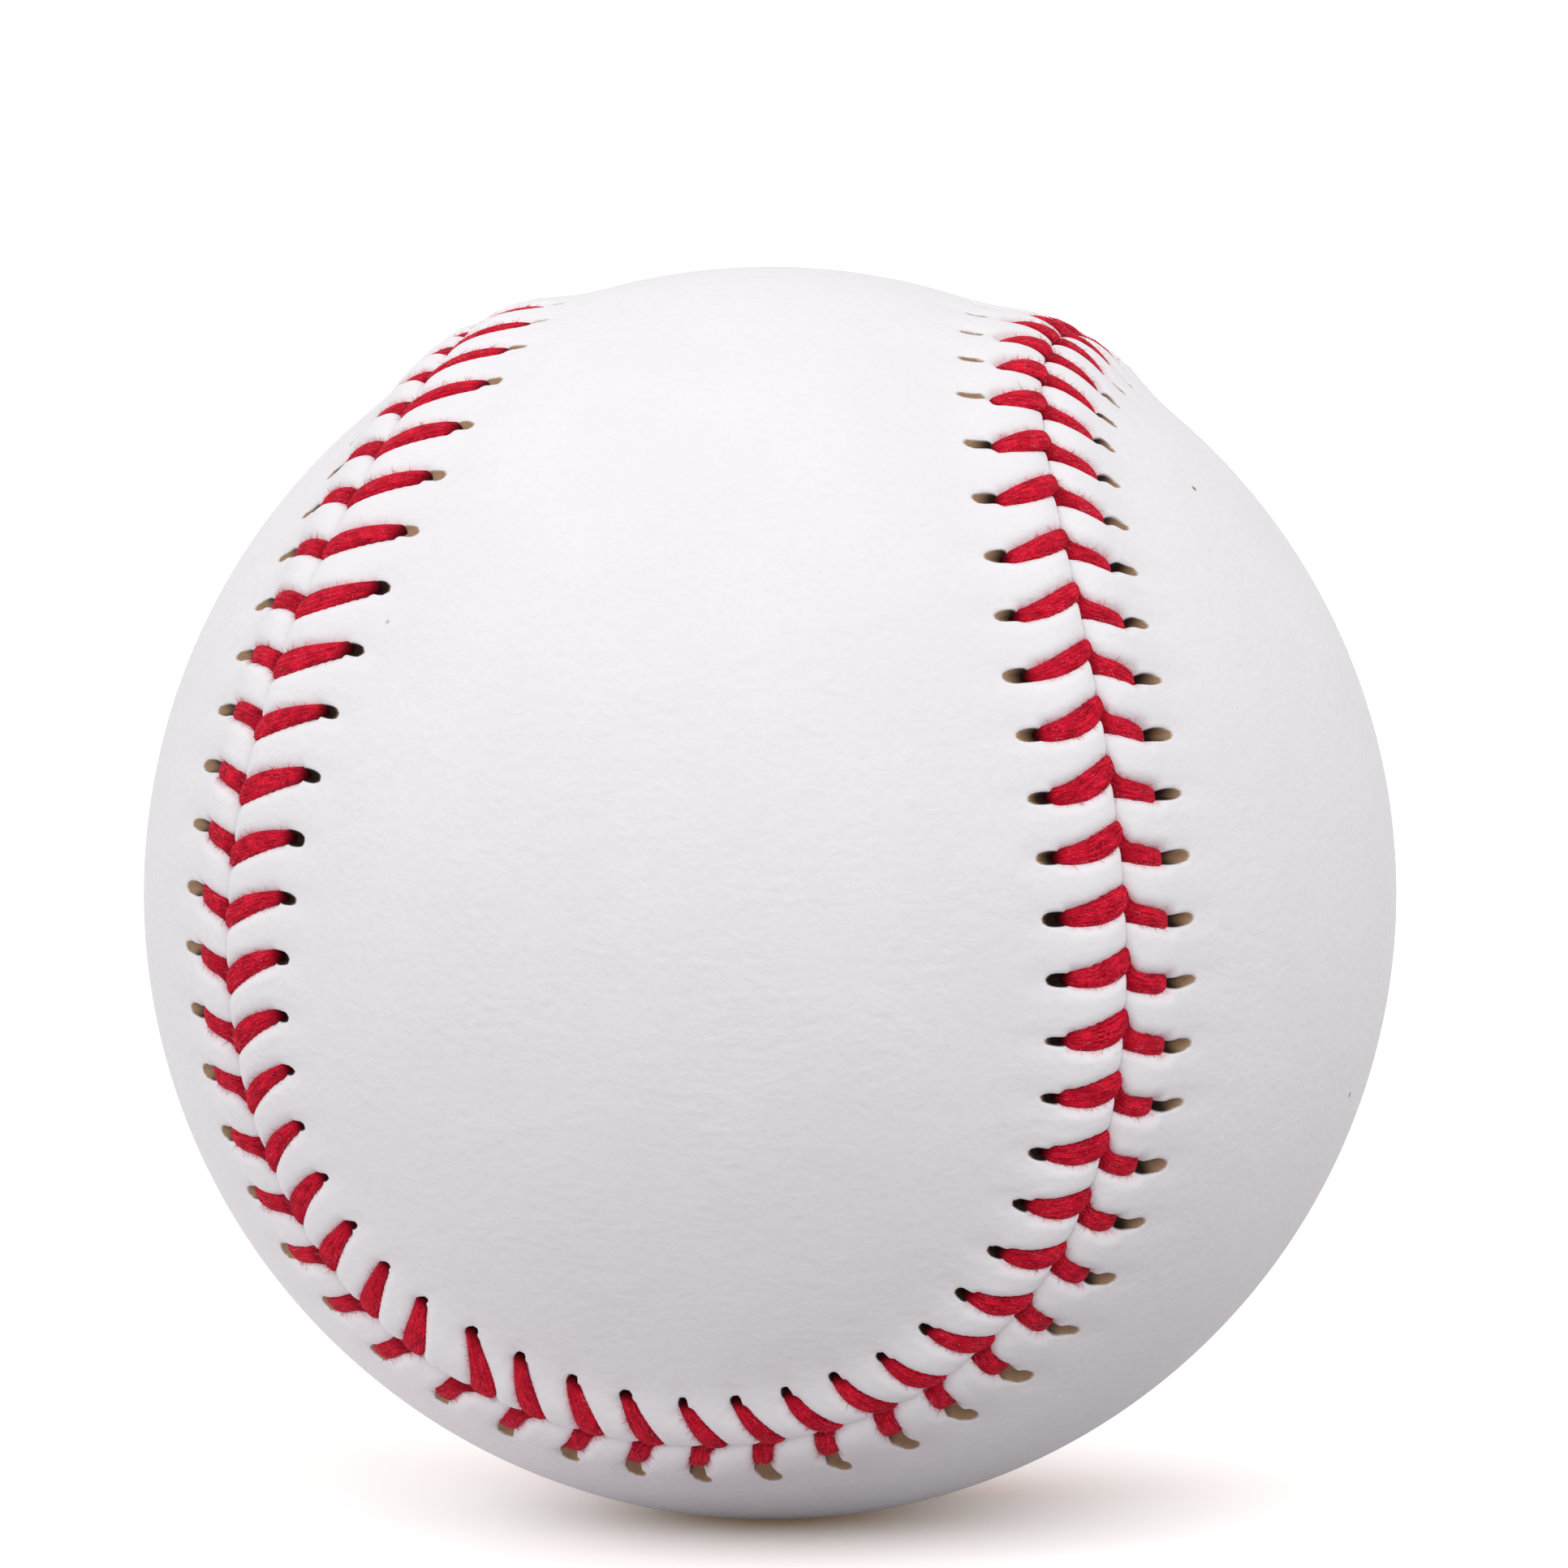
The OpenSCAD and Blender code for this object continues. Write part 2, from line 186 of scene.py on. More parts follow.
# %% Seam as sewn
drift_reach = 5 * mm
drift = along_seam(0, [0, 0, 0.03, 0.05, 0.08, 0.1, 0.25, 0.7,
                       0.95, 1.0, 0.85, 0.4, 0.28, 0.1, 0, 0]) * mm
for _ in range(2):
    drift = (np.roll(drift, 1) + 2 * drift + np.roll(drift, -1)) / 4


def spot(place, aside, level):
    """Points beside the seam as it was sewn, which drifts from its even course."""
    shift = np.interp(np.mod(place, stitches), np.arange(stitches + 1), np.append(drift, drift[0]))
    return even_spot(place, aside + shift * np.exp(-(aside / drift_reach) ** 2), level)


cover = np.zeros(stitches)
for first in halves:
    cover[first + 48:first + 54] = np.array([0.2, 0.8, 1.3, 1.4, 1.4, 1.3]) * mm
    cover[first:first + 2] = np.array([1.1, 0.9]) * mm


def holes(side):
    """Shift, near end and far end of all holes of a panel: side is 1 for the front one, else -1."""
    return hole_shift[side], hole_near[side], hole_far[side]


for side in (1, -1):
    shift, near, far = holes(side)
    print("panel", side, "has its holes from", round(near.mean() / mm, 2),
          "to", round(far.mean() / mm, 2), "mm from the seam")

# %% [markdown]
# ## The outline of a stitch
# Each stitch is a V. Its front leg starts narrow at its hole, widens, bends ahead and ends in a
# long point; the leg on the back panel is shorter, has a blunt end and runs in under the front
# one. Its middle line and half width are known at a few shares x of the way from the seam to the
# hole. One could join them with straight lines, but a low polynomial bends as softly as a thread.
# The leather's grooves and the threads both use this middle line and half width, in shares of a
# stitch, so that they always fit each other.

# %% Outline of a leg
front_stations, front_half_ws = [0, 0.3, 0.6, 0.9], [0.185, 0.22, 0.19, 0.14]
back_stations, back_half_ws = [0, 0.35, 1], [0.16, 0.165, 0.14]
back_lean = 0.08
# How far short of the point the blunt end of a back leg stays, how far up it spreads, how steeply
spread_short, spread_reach, spread_fade = 0.29, 0.26, 1.7
least_half_w = 0.09


def bend(stations, values, x):
    """The lowest polynomial that takes the values at the stations, at the shares x of the way."""
    total = 0
    for i, at in enumerate(stations):
        weight = values[i]
        for other in stations[:i] + stations[i + 1:]:
            weight = weight * (x - other) / (at - other)
        total = total + weight
    return total


def leg_edges(side, k, x):
    """Behind and ahead edge of a leg, in stitches from its own place."""
    x = np.clip(x, 0, 1)
    shift, point = hole_shift[side][k], points_at[k]
    if side > 0:
        start = point - front_half_ws[0]
        centre = bend([0, 0.5, 1], [start, (start + shift) / 2 + bulges[k], shift], x)
        half_w = bend(front_stations, front_half_ws, x) * leg_widths[k]
        return centre - half_w, centre + half_w
    middle = back_middles[k]
    centre = bend(back_stations, [middle + back_lean, middle, shift], x)
    half_w = bend(back_stations, back_half_ws, x)
    # Beside the seam it spreads up to the point, where it comes out from under the front leg
    spread = np.maximum(point - middle - spread_short, 0)
    spread = spread * np.clip(1 - x / spread_reach, 0, 1) ** spread_fade
    return centre - half_w, centre + half_w + spread


def leg_middle(side, k, x):
    behind, ahead = leg_edges(side, k, x)
    return k + (behind + ahead) / 2


def leg_half_w(side, k, x):
    behind, ahead = leg_edges(side, k, x)
    return np.maximum((ahead - behind) / 2, least_half_w)


widths = 2 * leg_half_w(1, np.arange(stitches), front_stations[1]) * pitch / mm
print("front legs are", round(widths.min(), 2), "to", round(widths.max(), 2), "mm wide")

# %% [markdown]
# ### The level of a stitch
# A leg rises out of its hole, lies highest near the seam and dives there. A curve for each leg
# would be drawn by eye 216 times, but a thread under tension keeps to one profile, so levels at a
# few shares of the way serve all legs of a panel. The stitches over the top right are drawn less
# tight, so they stand a little higher.

# %% Level of a leg
thread_thick = 0.62 * mm
leg_way = np.array([0, 0.08, 0.2, 0.4, 0.6, 0.8, 0.92, 1.0])
leg_levels = {1: np.array([0.34, 0.48, 0.54, 0.52, 0.42, 0.22, 0.02, -0.2]) * mm,
              -1: np.array([0.16, 0.32, 0.44, 0.46, 0.38, 0.2, 0.0, -0.26]) * mm}
leg_rise = np.zeros(stitches)
leg_rise[np.arange(101, 112) % stitches] = 0.14 * mm


def leg_level(side, k, x):
    """Level of a leg's middle line over the smooth ball."""
    return np.interp(x, leg_way, leg_levels[side]) + leg_rise[k] * np.clip(1 - x, 0, 1)


print("front legs stand", round(leg_levels[1].max() / mm, 2), "mm over the smooth ball")

# %% [markdown]
# ## The form of the leather
# Between two stitches the leather is drawn together and puffs up into a lobe; under a thread it is
# pressed down into a groove. Sculpting a hundred lobes twice by hand would take days, and a cloth
# simulation would need the real pull of every stitch. A height over the smooth ball, worked out
# from the distance to the nearest leg, gives the same swelling: steep beside the thread, round on
# top, low at the seam and flat a stitch or two away from it. Each hole is a pocket, and its
# distance is kept as an attribute, so that the finish can draw its rim sharper than the mesh. A
# tone for each hole tells how soon the painted near-black shade at its end turns into tan.

# %% Lobes and holes
rng = np.random.default_rng(9)
crest_rise, crest_u, crest_reach = 0.98 * mm, 1.5 * mm, 2.75 * mm
seam_dip, dip_power = 0.5, 2.4
puff_reach = 0.85 * mm
lobe_start = 0.3
# The leather laps over a leg's behind edge, its ahead edge and its end at the hole
lap_behind, lap_ahead, lap_end = 0.2 * mm, 0.12 * mm, 0.2 * mm
hole_half_w, hole_floor, hole_wall = 0.4 * mm, -0.4 * mm, 0.24 * mm
hole_under_leg, hole_tilt, oval_power = 0.45 * mm, 0.02, 2.4
dimple_depth, dimple_reach = 0.12 * mm, 0.5 * mm
rim_rise, rim_w = 0.03 * mm, 0.12 * mm
# Row 0 of these holds the front panel, row 1 the back one
lobe_swell = 1 + rng.normal(0, 0.05, (2, stitches))
lobe_swell[:, leg_rise > 0] *= 0.85
# How soon each hole's painted near-black shade turns into tan
hole_shade_tone = rng.normal(0, 0.07, (2, stitches)) + np.array([[-0.42], [-0.05]])
hole_swell = 1 + rng.normal(0, 0.08, (2, stitches))
for first in halves:
    hole_shade_tone[0, first + 25] += 0.45
    hole_shade_tone[0, first + 5:first + 9] += 0.8
    hole_shade_tone[0, first + 41:first + 54] += 0.35
    hole_shade_tone[1, first + 20:first + 33] += 0.35
    hole_swell[1, first + 20:first + 33] *= 1.35
    # Where the threads sink in early, the holes are narrow slits
    slits = first + np.r_[0:5, 49:54]
    hole_shade_tone[0, slits] += 0.55
    hole_swell[0, slits] *= 0.6
print(len(slits), "holes on each half of the seam are slits")

# %% [markdown]
# ### The height of the leather
# Each point looks at the stitch it lies on and at those behind and ahead of it. The distance to
# the nearest leg gives the groove and the puff of the lobe beside it; the distance to the nearest
# hole's rim gives the pocket, its rim and the dimple round it.

# %% Leather height
nothing_near = 1.0


def lobe_rise(u):
    inner = 1 - seam_dip * np.clip((crest_u - u) / crest_u, 0, 1) ** dip_power
    outer = np.exp(-(np.clip(u - crest_u, 0, None) / crest_reach) ** 2)
    return crest_rise * inner * outer


def smooth(x):
    x = np.clip(x, 0, 1)
    return x * x * (3 - 2 * x)


def leather(side, place, u):
    """Level of a panel's outer skin at places along the seam and distances u from it, with the
    distance to the nearest leg, to the nearest hole's rim, and the share of the way along it."""
    shift, near, far = holes(side)
    row = 0 if side > 0 else 1
    beside = np.full(place.shape, nothing_near)
    rim = np.full(place.shape, nothing_near)
    groove = np.zeros(place.shape)
    along = np.zeros(place.shape)
    for step in (-1, 0, 1):
        k = np.floor(place).astype(int) + step
        i = np.mod(k, stitches)
        x = u / near[i]
        middle = leg_middle(side, i, x) - i + k
        lap = np.where(place < middle, lap_behind, lap_ahead)
        gap = (np.abs(place - middle) - leg_half_w(side, i, x)) * pitch + lap
        past_end = np.clip(u - near[i] + lap_end, 0, None)
        gap = np.hypot(np.clip(gap, 0, None), past_end) + np.clip(gap, None, 0)
        level = leg_level(side, i, x) - thread_thick / 2
        groove = np.where(gap < beside, level, groove)
        beside = np.minimum(beside, gap)
        # The hole is an oval, tilted a little ahead, that starts under the end of the thread
        start = near[i] + (cover[i] if side > 0 else 0) - hole_under_leg
        half_len = (far[i] - start) / 2
        half_w = hole_half_w * hole_swell[row, i]
        way = (u - start) / (2 * half_len)
        tilt = (way - 0.5) * hole_tilt
        long_way = np.abs(u - start - half_len) / half_len
        short_way = np.abs(place - k - shift[i] - tilt) * pitch / half_w
        oval = (long_way ** oval_power + short_way ** oval_power) ** (1 / oval_power)
        inside = (oval - 1) * half_w
        along = np.where(inside < rim, way + hole_shade_tone[row, i], along)
        rim = np.minimum(rim, inside)
    lobe = np.mod(np.floor(place - lobe_start).astype(int), stitches)
    swell = lobe_swell[row]
    share = smooth(np.mod(place - lobe_start, 1))
    top = lobe_rise(u) * (swell[lobe] * (1 - share) + swell[(lobe + 1) % stitches] * share)
    puff = np.sqrt(1 - (1 - np.clip(beside / puff_reach, 0, 1)) ** 2)
    level = groove + (top - groove) * puff
    # A shallow dimple round each hole, with a slightly raised rim
    level -= dimple_depth * np.exp(-(np.clip(rim, 0, None) / dimple_reach) ** 2)
    level += rim_rise * np.exp(-((rim - rim_w) / rim_w) ** 2)
    level += (hole_floor - level) * smooth(-rim / hole_wall)
    return level, beside, rim, along


looked_at = np.linspace(0, stitches, 5000)
crest, _, _, _ = leather(1, looked_at, np.full(looked_at.shape, crest_u))
print("the leather stands", round(crest.max() / mm, 2), "mm proud of the ball at its lobes")

# %% [markdown]
# ## From a flat grid to a panel
# bmesh can make a flat grid in one call. Moving its points onto the ball turns it into a strip
# that follows the seam, or into the smooth field inside that strip. The strip has most of the
# points, because it carries all the folds; the field's rows join the strip's foot on one side of
# the panel with its foot on the other. Outer skin and inner skin are laid the same way, and
# merging the points where they touch makes one closed piece. The threads and their lint start
# from such grids too, so one helper lays them all.

# %% Grid helper
merge_gap = 0.0015 * mm


def lay_grid(bm, columns, rows, shape):
    """Adds a flat grid and moves its points, given as shares of both ways, to where shape says."""
    made = bmesh.ops.create_grid(bm, x_segments=columns, y_segments=rows, size=0.5)["verts"]
    flat = np.array([v.co[:2] for v in made]) + 0.5
    places, kept = shape(flat[:, 0], flat[:, 1])
    for v, place in zip(made, places.tolist()):
        v.co = place
    for name, values in kept.items():
        layer = bm.verts.layers.float[name]
        for v, value in zip(made, values.tolist()):
            v[layer] = value
    return made, flat


def keep_mesh(bm, name, slot, *replaced):
    """Turns a finished bmesh into a smooth piece that rides on the ball."""
    mesh = bpy.data.meshes.new(name)
    bm.to_mesh(mesh)
    bm.free()
    mesh.shade_smooth()
    piece = bpy.data.objects.new(name, mesh)
    bpy.context.scene.collection.objects.link(piece)
    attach(piece, "root")
    if replaced:
        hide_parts(*replaced)
    triangles = sum(len(p.vertices) - 2 for p in mesh.polygons)
    print(name, "has", triangles, "triangles")
    return piece


print("points closer than", round(merge_gap / mm, 4), "mm will be merged")

# %% [markdown]
# ### Rows of the strip
# The rows of points lie close together where the leather curls into the seam and where the holes
# are, and further apart towards the strip's foot. The first rows go down the cut edge, which is
# hidden in the seam, so that the crease looks deep and dark.

# %% Panels
columns_per_stitch = 16
edge_u = np.array([0.05, 0.02, 0.006, 0.006, 0.05, 0.17]) * mm
edge_share = np.array([0.0, 0.25, 0.6, 0.85, 0.96, 1.0])
lip_u = np.array([0.32, 0.48, 0.66, 0.86, 1.08, 1.32, 1.56, 1.82, 2.08, 2.34, 2.6, 2.84, 3.08,
                  3.32, 3.56, 3.8, 4.04, 4.28, 4.52, 4.78, 5.04, 5.32, 5.62, 5.94, 6.3, 6.74,
                  7.24, 7.8, 8.4]) * mm
strip_u = np.concatenate([edge_u, lip_u])
under_level = -0.46 * mm
inner_u = np.array([edge_u[0], 2.8 * mm, 5.6 * mm, strip_u[-1]])
inner_level = np.array([under_level, under_level, -0.55 * mm, -1.2 * mm])
outer_field_rows, inner_field_rows = 26, 6
least_angle, least_sine = 1e-4, 1e-9
# Distance in millimetres that stands for leather far from any leg or hole
plain_leather = 3.0


def outer_strip(side):
    def shape(a, b):
        row = np.rint(b * (len(strip_u) - 1)).astype(int)
        place = a * stitches
        u = strip_u[row]
        level, beside, rim, along = leather(side, place, u)
        down = np.concatenate([edge_share, np.ones(len(lip_u))])[row]
        level = under_level + (level - under_level) * down
        level = np.where(row == len(strip_u) - 1, 0, level)
        kept = {"leg_gap": beside / mm, "hole_rim": rim / mm, "hole_way": along}
        return spot(place, side * u, level), kept
    return shape


def inner_strip(side):
    def shape(a, b):
        row = np.rint(b * (len(inner_u) - 1)).astype(int)
        return spot(a * stitches, side * inner_u[row], inner_level[row]), {}
    return shape


def field(side, level):
    tip = stitches / 4 if side > 0 else 0

    def shape(a, b):
        apart = a * stitches / 2
        foot, full = np.full(a.shape, side * strip_u[-1]), np.full(a.shape, level)
        start, end = spot(tip - apart, foot, full), spot(tip + apart, foot, full)
        angle = np.arccos(np.clip(np.sum(start * end, 1) / (ball_r + level) ** 2, -1, 1))
        safe = np.maximum(np.sin(angle), least_sine)
        first = np.where(angle > least_angle, np.sin((1 - b) * angle) / safe, 1 - b)
        last = np.where(angle > least_angle, np.sin(b * angle) / safe, b)
        way = first[:, None] * start + last[:, None] * end
        far_off = np.full(a.shape, plain_leather)
        return way, {"leg_gap": far_off, "hole_rim": far_off}
    return shape


def panel(name, side):
    bm = bmesh.new()
    for kept in ("leg_gap", "hole_rim", "hole_way"):
        bm.verts.layers.float.new(kept)
    around = stitches * columns_per_stitch
    lay_grid(bm, around, len(strip_u) - 1, outer_strip(side))
    lay_grid(bm, around // 2, outer_field_rows, field(side, 0.0))
    lay_grid(bm, around, len(inner_u) - 1, inner_strip(side))
    lay_grid(bm, around // 2, inner_field_rows, field(side, inner_level[-1]))
    bmesh.ops.remove_doubles(bm, verts=bm.verts, dist=merge_gap)
    bmesh.ops.recalc_face_normals(bm, faces=bm.faces)
    open_edges = sum(1 for e in bm.edges if len(e.link_faces) != 2)
    print(name, "has", open_edges, "open edges")
    return keep_mesh(bm, name, "white_leather", "cover_" + name)


panel_front = panel("panel_front", 1)
panel_back = panel("panel_back", -1)

# %% [markdown]
# ## The threads
# Two needles sew the ball. Each comes up through a hole, passes over the leather, dives into the
# seam, runs on under the other panel and comes up there through the next hole. So a thread is one
# long closed tube. It could be a curve with a bevel, but the real thread is flattened and changes
# its width all the way, so a grid is rolled into rings instead. Each half stitch lists a few key
# rings: place, distance from the seam, level, half width, half thickness and how deep it lies in
# the shade of a hole or of the other leg. A smooth curve through the keys gives the rest.

# %% Thread keys
# Painted shade along each leg: near its hole and where the legs cross at the seam
leg_shades = {1: np.array([0.25, 0.05, 0, 0, 0, 0.08, 0.35, 0.75]),
              -1: np.array([0.6, 0.55, 0.3, 0.05, 0, 0.05, 0.2, 0.7])}


def half_stitch(k, side):
    """Key rings of one pass: up through the hole, over the lip, down the seam and on below."""
    i = k % stitches
    other = (k + 1) % stitches
    shift, near, _ = (v[i] for v in holes(side))
    next_shift, next_near, _ = (v[other] for v in holes(-side))
    half_t = thread_thick / 2
    hole = k + shift
    keys = [
        (hole, near + 0.3 * mm, -0.92 * mm, 0.085 * pitch, 0.8 * half_t, 1),
        (hole, near + 0.2 * mm, -0.55 * mm, 0.09 * pitch, 0.85 * half_t, 1),
    ]
    for x, shade in list(zip(leg_way, leg_shades[side]))[::-1]:
        full = half_t * (0.8 + 0.2 * math.sin(math.pi * min(1, x * 1.1)))
        keys.append((leg_middle(side, i, x) - i + k, x * near, leg_level(side, i, x),
                     leg_half_w(side, i, x) * pitch, full, shade))
    cross = leg_middle(side, i, 0.0) - i + k
    reach, top = (0.32 * mm, 0.08 * mm) if side > 0 else (0.1 * mm, -0.12 * mm)
    keys += [
        (cross + 0.01, -reach, top, 0.18 * pitch, 0.8 * half_t, 0.8),
        (cross + 0.03, -(reach + 0.1 * mm), -0.4 * mm, 0.14 * pitch, 0.7 * half_t, 1),
        (cross + 0.1, -0.9 * mm, -0.86 * mm, 0.12 * pitch, 0.8 * half_t, 1),
        (k + 1 + next_shift - 0.1, 0.6 * mm - next_near, -0.9 * mm, 0.11 * pitch, 0.8 * half_t, 1),
    ]
    return [(place, side * aside, *rest) for place, aside, *rest in keys]


def all_keys(needle):
    rows = []
    for k in range(stitches):
        rows += half_stitch(k, 1 if (k + needle) % 2 == 0 else -1)
    return np.array(rows)


print("each thread has", len(all_keys(0)), "key rings")

# %% [markdown]
# ### Rings along a thread
# A curve through the keys is found with the usual four-point rule, in which every point's slope
# comes from its two neighbours. A ring is flat, and it leans with the thread: its width follows
# the seam, and its thickness stands square to the thread's way. Shallow ridges along it show the
# plies that were pressed together with wax.

# %% Threads
def through(keys, steps_between):
    """A smooth closed curve through all keys; the place grows by all the stitches per lap."""
    lap = np.zeros(keys.shape[1])
    lap[0] = stitches
    near_by = [np.concatenate([keys[-1:] - lap, keys[:-1]]), keys,
               np.concatenate([keys[1:], keys[:1] + lap]),
               np.concatenate([keys[2:], keys[:2] + lap])]
    t = (np.arange(steps_between) / steps_between)[None, :, None]
    a, b, c, d = (v[:, None, :] for v in near_by)
    square, cube = 2 * a - 5 * b + 4 * c - d, 3 * b - a - 3 * c + d
    curve = 0.5 * (2 * b + (c - a) * t + square * t ** 2 + cube * t ** 3)
    return curve.reshape(-1, keys.shape[1])


ring_points, rings_between_keys = 16, 3
ply_count, ply_ridge, ply_sway = 6, 0.05, 0.35
width_sway, flatness = 0.05, 0.8
ply_seed = 20


def thread(name, needle):
    rings = through(all_keys(needle), rings_between_keys)
    count = len(rings)
    before, after = np.roll(rings, 1, 0), np.roll(rings, -1, 0)
    way = after[:, 1:3] - before[:, 1:3]
    way /= np.linalg.norm(way, axis=1, keepdims=True)
    plies = np.random.default_rng(ply_seed + needle)
    wobble = plies.normal(0, 1, (count, 2))
    for _ in range(3):
        wobble = (np.roll(wobble, 1, 0) + wobble + np.roll(wobble, -1, 0)) / 3

    def shape(a, b):
        i = np.mod(np.rint(a * count).astype(int), count)
        turn = b * 2 * np.pi
        ridge = 1 + ply_ridge * np.cos(ply_count * turn + ply_sway * wobble[i, 0])
        across = np.cos(turn)
        thick = np.sign(np.sin(turn)) * np.abs(np.sin(turn)) ** flatness
        place = rings[i, 0] + rings[i, 3] * across * (1 + width_sway * wobble[i, 1]) / pitch
        aside = rings[i, 1] + way[i, 1] * rings[i, 4] * thick * ridge
        level = rings[i, 2] - way[i, 0] * rings[i, 4] * thick * ridge
        return spot(place, aside, level), {"shade": rings[i, 5]}

    bm = bmesh.new()
    bm.verts.layers.float.new("shade")
    uv = bm.loops.layers.uv.new("thread")
    made, flat = lay_grid(bm, count, ring_points, shape)
    steps = np.diff(spot(rings[:, 0], rings[:, 1], rings[:, 2]), axis=0)
    length = np.concatenate([[0], np.cumsum(np.linalg.norm(steps, axis=1)) / mm])
    at = {v: (length[min(round(a * count), count - 1)], b)
          for v, (a, b) in zip(made, flat.tolist())}
    for face in bm.faces:
        for loop in face.loops:
            loop[uv].uv = at[loop.vert]
    bmesh.ops.remove_doubles(bm, verts=bm.verts, dist=merge_gap)
    bmesh.ops.recalc_face_normals(bm, faces=bm.faces)
    print(name, "is", round(length[-1] * mm, 2), "m long")
    return keep_mesh(bm, name, "red_thread", "stitch_" + name)


thread_first = thread("thread_first", 0)
thread_second = thread("thread_second", 1)

# %% [markdown]
# ## Lint on the threads
# Waxed thread sheds: short fibres stand off its edges and make them look soft. A hair system could
# grow them, but the exporter wants plain meshes, and a fibre is only a thin cone. One long grid is
# rolled up and cut into thousands of such cones. Most stand on the edges of a leg and lean outward
# over the leather; the rest lie on the thread and roughen it.

# %% Lint
fibres_per_leg = 56
lying_share = 0.3
fibre_root_r, fibre_tip_r = 0.015 * mm, 0.006 * mm
fibre_sides = 3
lint_seeds = {1: 31, -1: 32}


def fibre_ends(side):
    """Root and tip of every fibre on one panel's legs."""
    rng = np.random.default_rng(lint_seeds[side])
    near = holes(side)[1]
    k = np.repeat(np.arange(stitches), fibres_per_leg)
    count = len(k)
    x = rng.uniform(0.0, 0.9, count)
    edge = rng.choice([-1.0, 1.0], count)
    lying = rng.random(count) < lying_share
    across = edge * np.where(lying, rng.uniform(0.0, 0.6, count), rng.uniform(0.6, 0.95, count))
    place = leg_middle(side, k, x) + across * leg_half_w(side, k, x)
    level = leg_level(side, k, x) + thread_thick / 2 * np.sqrt(1 - across ** 2)
    # A fibre that lies on the thread stays low; one that stands leans over the leather
    lean = edge * np.where(lying, rng.uniform(-0.12, 0.12, count),
                           0.02 + 0.4 * rng.random(count) ** 1.6) * mm
    slide = np.where(lying, rng.uniform(-0.4, 0.4, count), rng.normal(0, 0.22, count)) * mm
    rise = np.where(lying, rng.uniform(0.02, 0.08, count),
                    0.05 + 0.27 * rng.random(count) ** 1.5) * mm
    root = spot(place, side * x * near[k], level)
    return root, spot(place + lean / pitch, side * (x * near[k] + slide), level + rise)


def lint(name):
    roots, tips = (np.concatenate(ends) for ends in zip(fibre_ends(1), fibre_ends(-1)))
    way = (tips - roots) / np.linalg.norm(tips - roots, axis=1, keepdims=True)
    first = np.cross(way, roots)
    first /= np.linalg.norm(first, axis=1, keepdims=True)
    second = np.cross(way, first)
    columns = 2 * len(roots) - 1

    def shape(a, b):
        column = np.rint(a * columns).astype(int)
        i, at_tip = column // 2, (column % 2)[:, None]
        turn = (b * 2 * np.pi)[:, None]
        round_it = np.cos(turn) * first[i] + np.sin(turn) * second[i]
        middle = np.where(at_tip, tips[i], roots[i])
        return middle + np.where(at_tip, fibre_tip_r, fibre_root_r) * round_it, {}

    bm = bmesh.new()
    made, flat = lay_grid(bm, columns, fibre_sides, shape)
    column_of = dict(zip(made, np.rint(flat[:, 0] * columns).astype(int).tolist()))
    between = [f for f in bm.faces if min(column_of[v] for v in f.verts) % 2]
    bmesh.ops.delete(bm, geom=between, context="FACES")
    bmesh.ops.remove_doubles(bm, verts=bm.verts, dist=merge_gap)
    bmesh.ops.holes_fill(bm, edges=bm.edges, sides=fibre_sides)
    bmesh.ops.recalc_face_normals(bm, faces=bm.faces)
    print(name, "has", len(roots), "fibres")
    return keep_mesh(bm, name, "red_thread")


thread_lint = lint("thread_lint")

# %% [markdown]
# ## Shader maths as plain sums
# A finish is a network of nodes, and drawing it by hand takes many lines. A small class wraps a
# socket, so that a sum or product written in Python adds the Math node for it, and one method makes
# any other node from its type, its settings and its sockets.

# %% Finish helper
class Wire:
    """An output socket that can be used in sums."""

    def __init__(self, finish, socket):
        self.finish, self.socket = finish, socket

    def maths(self, operation, first, second):
        return self.finish.node("ShaderNodeMath", {"operation": operation}, {0: first, 1: second})

    def __add__(self, other): return self.maths("ADD", self, other)
    def __radd__(self, other): return self.maths("ADD", other, self)
    def __sub__(self, other): return self.maths("SUBTRACT", self, other)
    def __rsub__(self, other): return self.maths("SUBTRACT", other, self)
    def __mul__(self, other): return self.maths("MULTIPLY", self, other)
    def __rmul__(self, other): return self.maths("MULTIPLY", other, self)


